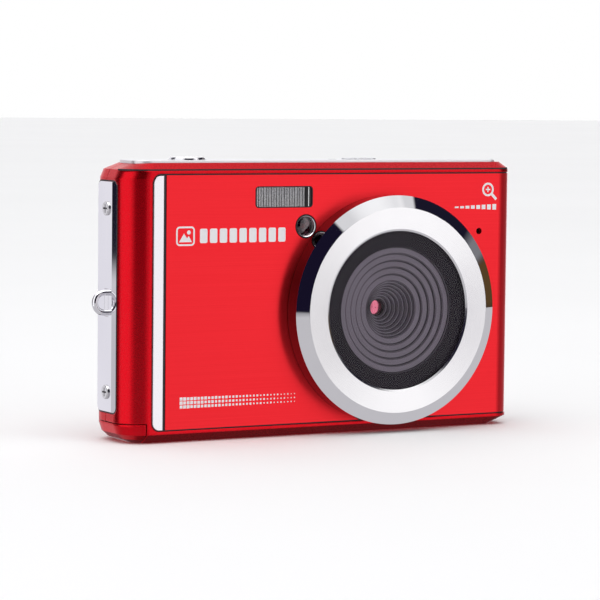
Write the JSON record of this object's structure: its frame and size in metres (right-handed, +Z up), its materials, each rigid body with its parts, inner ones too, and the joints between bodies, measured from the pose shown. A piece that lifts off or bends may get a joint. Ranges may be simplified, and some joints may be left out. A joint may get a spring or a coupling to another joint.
{
  "type": "compact digital camera",
  "caption": "Slim red compact digital camera with a large chrome lens ring, flash window, rear screen and keys, battery door and strap lug.",
  "frame": {"origin": "mouth of the tripod socket, in the middle of the flat base", "axes": "+X towards the pictured front's right-hand end, +Y towards the screen, +Z up; the lens faces -Y"},
  "size_m": [0.0958, 0.0225, 0.0572],
  "materials": {
    "red_shell": "satin metallic lacquer",
    "red_aluminium": "brushed, anodised red",
    "bright_chrome": "polished",
    "satin_silver": "silver lacquer, satin",
    "silver_trim": "satin chrome plating",
    "clear_window": "clear, polished",
    "smoked_window": "smoked, polished",
    "screen_window": "black glass, polished",
    "optical_glass": "coated",
    "tube_glass": "clear",
    "black_plastic": "fine satin",
    "grey_baffle": "satin",
    "key_silver": "silver lacquer",
    "reflector_metal": "bright",
    "sheet_steel": "plain",
    "screw_steel": "nickel plated",
    "thread_brass": "machined",
    "contact_gold": "gilt",
    "circuit_board": "solder mask",
    "component_black": "moulded",
    "capacitor_sleeve": "shrink sleeve",
    "flex_film": "polyimide film",
    "battery_wrap": "wrapped metal cell",
    "card_body": "moulded"
  },
  "bodies": {
    "root": {"front_shell": "red_shell", "rear_shell": "red_shell", "faceplate": "red_aluminium", "accent_strip": "silver_trim", "side_plate_left": "silver_trim", "side_plate_right": "silver_trim", "top_plate": "satin_silver", "strap_lug": "bright_chrome", "lens_ring": "bright_chrome", "side_screws": "screw_steel", "bottom_screws": "screw_steel", "inner_screws": "screw_steel", "tripod_bush": "thread_brass", "lens_window": "clear_window", "flash_window": "clear_window", "timer_lamp_lens": "smoked_window", "lcd_window": "screen_window", "lens_element_front": "optical_glass", "lens_element_rear": "optical_glass", "ir_filter": "optical_glass", "flash_tube": "tube_glass", "timer_led": "tube_glass", "indicator_led": "tube_glass", "lens_mask": "black_plastic", "lens_barrel": "black_plastic", "lens_holder": "black_plastic", "lens_baffle": "grey_baffle", "image_sensor": "component_black", "board_chips": "component_black", "microphone": "sheet_steel", "speaker": "component_black", "key_switches": "sheet_steel", "top_switches": "sheet_steel", "lcd_panel": "screen_window", "flash_reflector": "reflector_metal", "flash_capacitor": "capacitor_sleeve", "main_board": "circuit_board", "switch_boards": "circuit_board", "key_board": "circuit_board", "lcd_flex": "flex_film", "lcd_frame": "sheet_steel", "card_slot": "sheet_steel", "usb_port": "sheet_steel", "battery_frame": "black_plastic", "battery_contacts": "contact_gold"},
    "shutter": {"shutter_button": "bright_chrome"},
    "power": {"power_button": "key_silver"},
    "mode": {"mode_button": "key_silver"},
    "menu": {"menu_button": "key_silver"},
    "play": {"play_button": "key_silver"},
    "delete": {"delete_button": "key_silver"},
    "centre_key": {"ok_button": "key_silver"},
    "zoom": {"zoom_rocker": "key_silver"},
    "nav_bar": {"nav_pivot": "black_plastic"},
    "nav": {"nav_ring": "key_silver"},
    "door_pin": {"door_hinge_pin": "screw_steel"},
    "door": {"battery_door": "red_shell"},
    "battery": {"battery": "battery_wrap"},
    "card": {"memory_card": "card_body"}
  },
  "joints": [
    {"name": "shutter_press", "type": "slide", "parent": "root", "child": "shutter", "axis": [0, 0, -1], "range_m": [0, 0.0005], "stiffness_N_per_m": 1200},
    {"name": "power_press", "type": "slide", "parent": "root", "child": "power", "axis": [0, 0, -1], "range_m": [0, 0.0004], "stiffness_N_per_m": 1200},
    {"name": "mode_press", "type": "slide", "parent": "root", "child": "mode", "axis": [0, -1, 0], "range_m": [0, 0.0004], "stiffness_N_per_m": 1200},
    {"name": "menu_press", "type": "slide", "parent": "root", "child": "menu", "axis": [0, -1, 0], "range_m": [0, 0.0004], "stiffness_N_per_m": 1200},
    {"name": "play_press", "type": "slide", "parent": "root", "child": "play", "axis": [0, -1, 0], "range_m": [0, 0.0004], "stiffness_N_per_m": 1200},
    {"name": "delete_press", "type": "slide", "parent": "root", "child": "delete", "axis": [0, -1, 0], "range_m": [0, 0.0004], "stiffness_N_per_m": 1200},
    {"name": "centre_press", "type": "slide", "parent": "root", "child": "centre_key", "axis": [0, -1, 0], "range_m": [0, 0.0004], "stiffness_N_per_m": 1200},
    {"name": "zoom_rock", "type": "hinge", "parent": "root", "child": "zoom", "pos_m": [-0.029, 0.0064, 0.047], "axis": [0, 0, 1], "range_deg": [-4, 4], "stiffness_Nm_per_rad": 0.08},
    {"name": "nav_sideways", "type": "hinge", "parent": "root", "child": "nav_bar", "pos_m": [-0.029, 0.0063, 0.024], "axis": [0, 0, 1], "range_deg": [-2.5, 2.5], "stiffness_Nm_per_rad": 0.15},
    {"name": "nav_updown", "type": "hinge", "parent": "nav_bar", "child": "nav", "pos_m": [-0.029, 0.0063, 0.024], "axis": [1, 0, 0], "range_deg": [-2.5, 2.5], "stiffness_Nm_per_rad": 0.15},
    {"name": "door_slide", "type": "slide", "parent": "root", "child": "door_pin", "axis": [-1, 0, 0], "range_m": [0, 0.002]},
    {"name": "door_swing", "type": "hinge", "parent": "door_pin", "child": "door", "pos_m": [-0.0075, 0, 0.0013], "axis": [0, -1, 0], "range_deg": [0, 92]},
    {"name": "battery_eject", "type": "slide", "parent": "root", "child": "battery", "axis": [0, 0, -1], "range_m": [0, 0.001]},
    {"name": "card_eject", "type": "slide", "parent": "root", "child": "card", "axis": [0, 0, -1], "range_m": [0, 0.001]}
  ]
}
